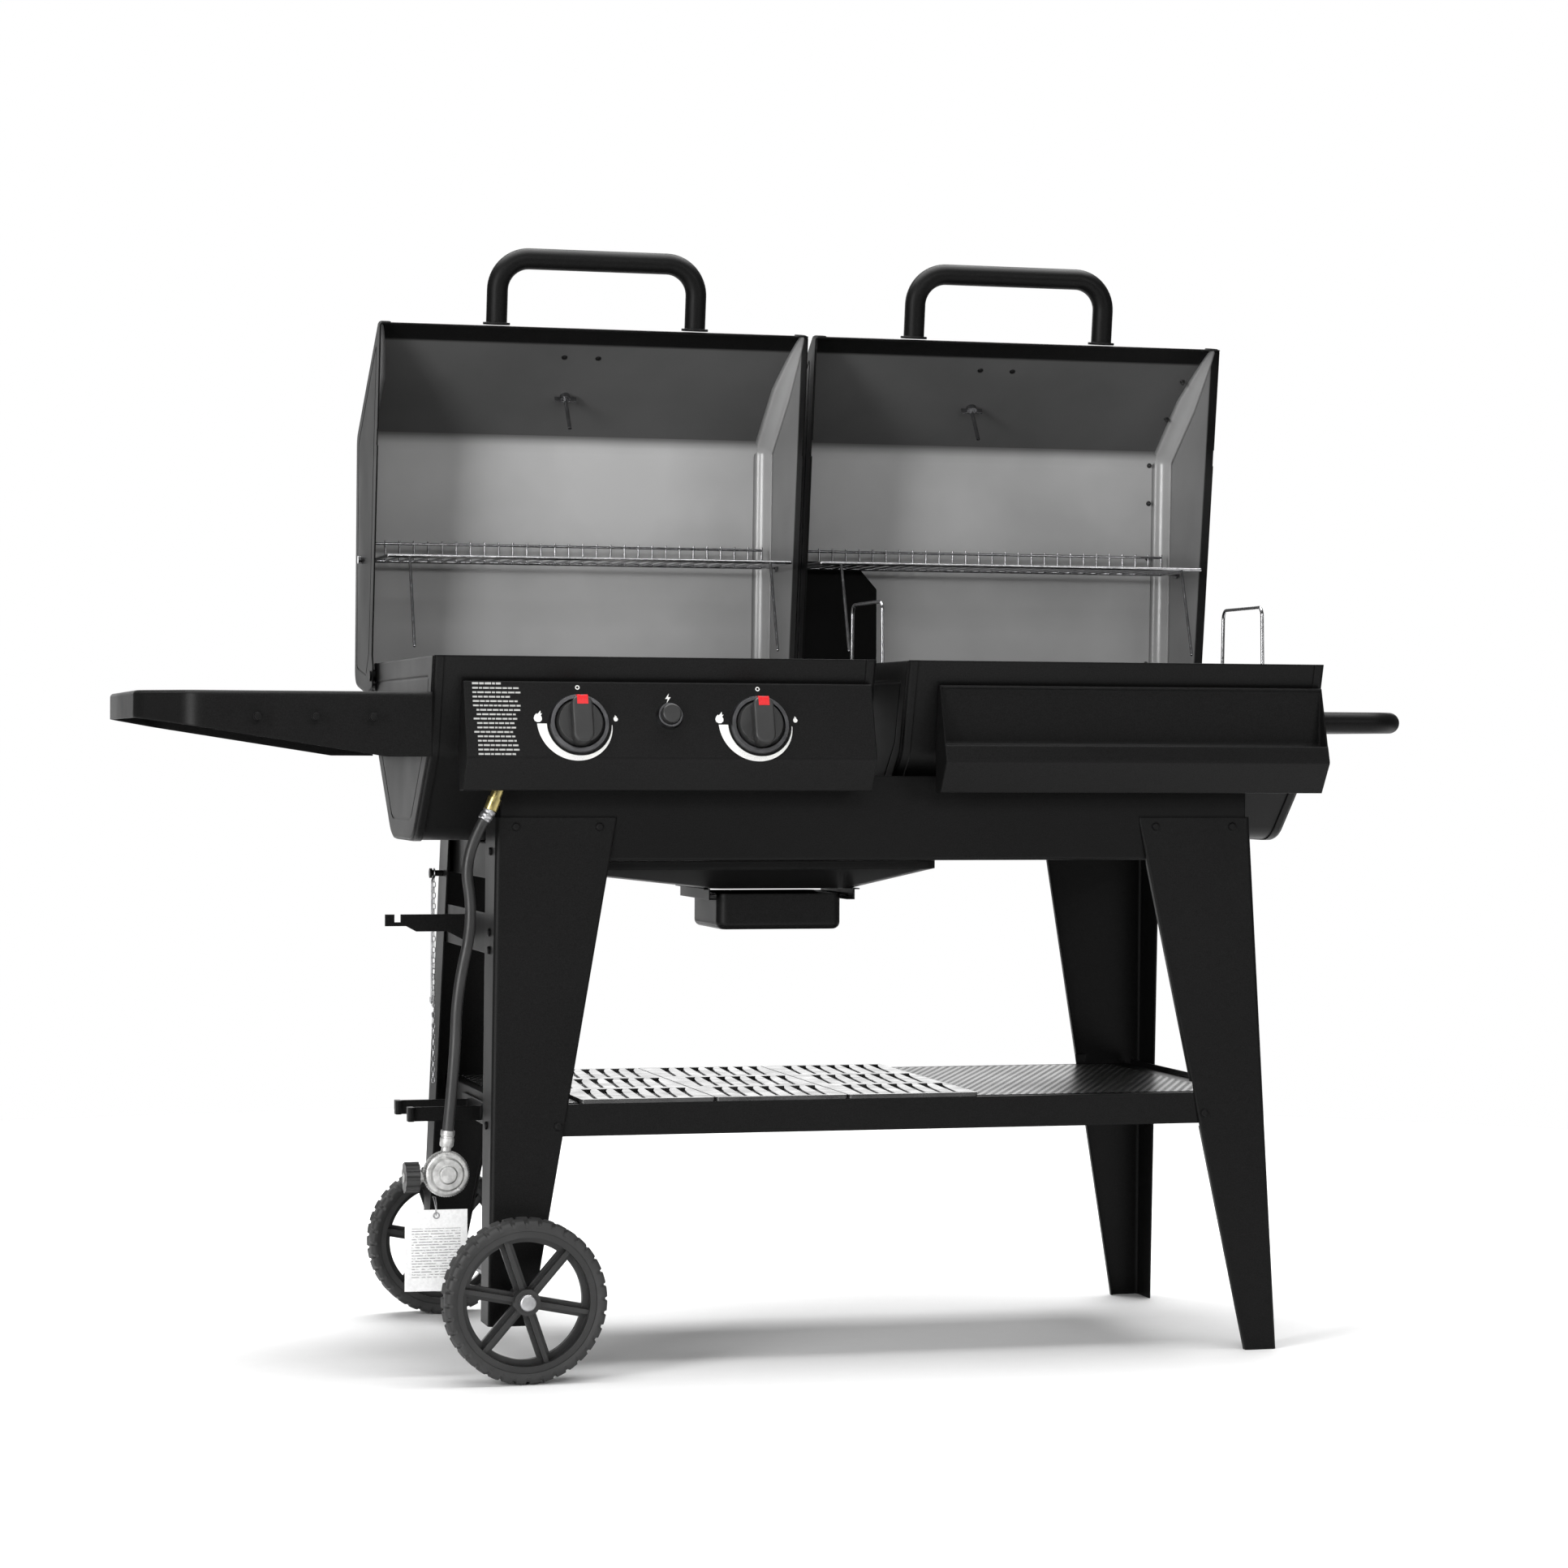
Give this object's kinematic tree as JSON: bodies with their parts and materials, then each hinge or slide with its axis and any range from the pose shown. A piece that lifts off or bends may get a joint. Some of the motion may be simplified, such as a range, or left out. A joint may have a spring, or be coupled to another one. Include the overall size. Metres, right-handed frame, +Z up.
{
  "type": "gas and charcoal combination grill",
  "caption": "Cart grill with a gas firebox and a charcoal firebox side by side under separate hinged lids, shelf, push handle, wheels, gas hose and regulator.",
  "frame": {"origin": "on the ground, at the bottom centre of the box around the grill without the hose and what hangs on it", "axes": "+Z up, +X to the user's right as they face the controls, +Y away from the user"},
  "size_m": [1.688, 0.6956, 1.4302],
  "materials": {
    "black_paint": "satin black powder coat",
    "black_plastic": "moulded, fine grain",
    "bezel_metal": "semi-gloss black",
    "tyre_rubber": "moulded tread",
    "hose_rubber": "smooth matt",
    "chrome_wire": "bright plated wire",
    "zinc_steel": "zinc plated",
    "burner_steel": "plain stainless",
    "cast_iron": "seasoned",
    "brass": "machined",
    "regulator_zinc": "die cast, tumbled",
    "tag_paper": "coated paper"
  },
  "bodies": {
    "cart": {"leg_front_left": "black_paint", "leg_front_right": "black_paint", "leg_rear_left": "black_paint", "leg_rear_right": "black_paint", "apron_front": "black_paint", "apron_rear": "black_paint", "cross_rails": "black_paint", "bottom_shelf": "black_paint", "gas_firebox_shell": "black_paint", "gas_firebox_ends": "black_paint", "charcoal_firebox_shell": "black_paint", "charcoal_firebox_ends": "black_paint", "control_panel": "black_paint", "drip_pan_rim": "black_paint", "drip_pan_front": "black_paint", "drip_pan_right": "black_paint", "drip_pan_back": "black_paint", "drip_pan_left": "black_paint", "drip_pan_base": "black_paint", "cup_hanger": "black_paint", "side_shelf": "black_paint", "push_handle": "black_paint", "tank_crossbar": "black_paint", "tank_fork": "black_paint", "panel_bezels": "bezel_metal", "gas_hose": "hose_rubber", "axle": "zinc_steel", "axle_caps": "zinc_steel", "frame_screws": "zinc_steel", "tool_pegs": "zinc_steel", "hinge_bolts": "zinc_steel", "gas_manifold": "zinc_steel", "burners": "burner_steel", "heat_tents": "burner_steel", "gas_valves": "burner_steel", "cooking_grates": "cast_iron", "gas_inlet_fitting": "brass", "regulator": "regulator_zinc", "paper_tag": "tag_paper"},
    "lid_left": {"lid_left_shell": "black_paint", "lid_left_ends": "black_paint", "lid_handle_left": "black_paint", "thermometer_left": "zinc_steel"},
    "lid_right": {"lid_right_shell": "black_paint", "lid_right_ends": "black_paint", "lid_handle_right": "black_paint", "thermometer_right": "zinc_steel", "vent_baffle": "black_paint"},
    "rack_left": {"warming_rack_left": "chrome_wire"},
    "rack_right": {"warming_rack_right": "chrome_wire"},
    "front_wheel": {"wheel_front": "black_plastic", "tyre_front": "tyre_rubber"},
    "rear_wheel": {"wheel_rear": "black_plastic", "tyre_rear": "tyre_rubber"},
    "left_knob": {"knob_left": "black_plastic"},
    "right_knob": {"knob_right": "black_plastic"},
    "igniter": {"igniter_button": "black_plastic"},
    "ash_drawer": {"ash_drawer_fascia": "black_paint", "ash_drawer_tray": "black_paint"},
    "charcoal_basket": {"charcoal_tray": "black_paint", "charcoal_tray_handles": "chrome_wire"},
    "grease_cup": {"grease_cup": "black_paint", "grease_cup_base": "black_paint"},
    "coupling": {"coupling_nut": "black_plastic"},
    "lighting_rod": {"lighting_rod": "chrome_wire"}
  },
  "joints": [
    {"name": "lid_left_hinge", "type": "hinge", "parent": "cart", "child": "lid_left", "pos_m": [-0.2045, 0.19767, 0.863], "axis": [1, 0, 0], "range_deg": [0, 82]},
    {"name": "lid_right_hinge", "type": "hinge", "parent": "cart", "child": "lid_right", "pos_m": [0.3885, 0.19767, 0.863], "axis": [1, 0, 0], "range_deg": [0, 82]},
    {"name": "rack_left_pivot", "type": "hinge", "parent": "lid_left", "child": "rack_left", "pos_m": [-0.2045, 0.28467, 1.022], "axis": [1, 0, 0], "range_deg": [-82, 0]},
    {"name": "rack_right_pivot", "type": "hinge", "parent": "lid_right", "child": "rack_right", "pos_m": [0.3885, 0.28467, 1.022], "axis": [1, 0, 0], "range_deg": [-82, 0]},
    {"name": "front_wheel_spin", "type": "hinge", "parent": "cart", "child": "front_wheel", "pos_m": [-0.385, -0.31933, 0.1], "axis": [0, 1, 0], "continuous": true},
    {"name": "rear_wheel_spin", "type": "hinge", "parent": "cart", "child": "rear_wheel", "pos_m": [-0.385, 0.27667, 0.1], "axis": [0, 1, 0], "continuous": true},
    {"name": "left_knob_turn", "type": "hinge", "parent": "cart", "child": "left_knob", "pos_m": [-0.312, -0.28082, 0.798], "axis": [0, -0.9584, 0.2855], "range_deg": [0, 270]},
    {"name": "right_knob_turn", "type": "hinge", "parent": "cart", "child": "right_knob", "pos_m": [-0.084, -0.28082, 0.798], "axis": [0, -0.9584, 0.2855], "range_deg": [0, 270]},
    {"name": "igniter_press", "type": "slide", "parent": "cart", "child": "igniter", "axis": [0, 0.9584, -0.2855], "range_m": [0, 0.004], "stiffness_N_per_m": 300},
    {"name": "ash_drawer_slide", "type": "slide", "parent": "cart", "child": "ash_drawer", "axis": [0, -1, 0], "range_m": [0, 0.2]},
    {"name": "charcoal_basket_lift", "type": "slide", "parent": "cart", "child": "charcoal_basket", "axis": [0, 0, 1], "range_m": [0, 0.055]},
    {"name": "grease_cup_slide", "type": "slide", "parent": "cart", "child": "grease_cup", "axis": [0, -1, 0], "range_m": [0, 0.15]},
    {"name": "coupling_turn", "type": "hinge", "parent": "cart", "child": "coupling", "pos_m": [-0.51, -0.23933, 0.243], "axis": [1, 0, 0], "continuous": true},
    {"name": "lighting_rod_swing", "type": "hinge", "parent": "cart", "child": "lighting_rod", "pos_m": [-0.418, 0.15067, 0.602], "axis": [1, 0, 0], "range_deg": [-15, 10]}
  ],
  "couplings": [
    {"joint": "rack_left_pivot", "follows": "lid_left_hinge", "ratio": -1},
    {"joint": "rack_right_pivot", "follows": "lid_right_hinge", "ratio": -1}
  ]
}
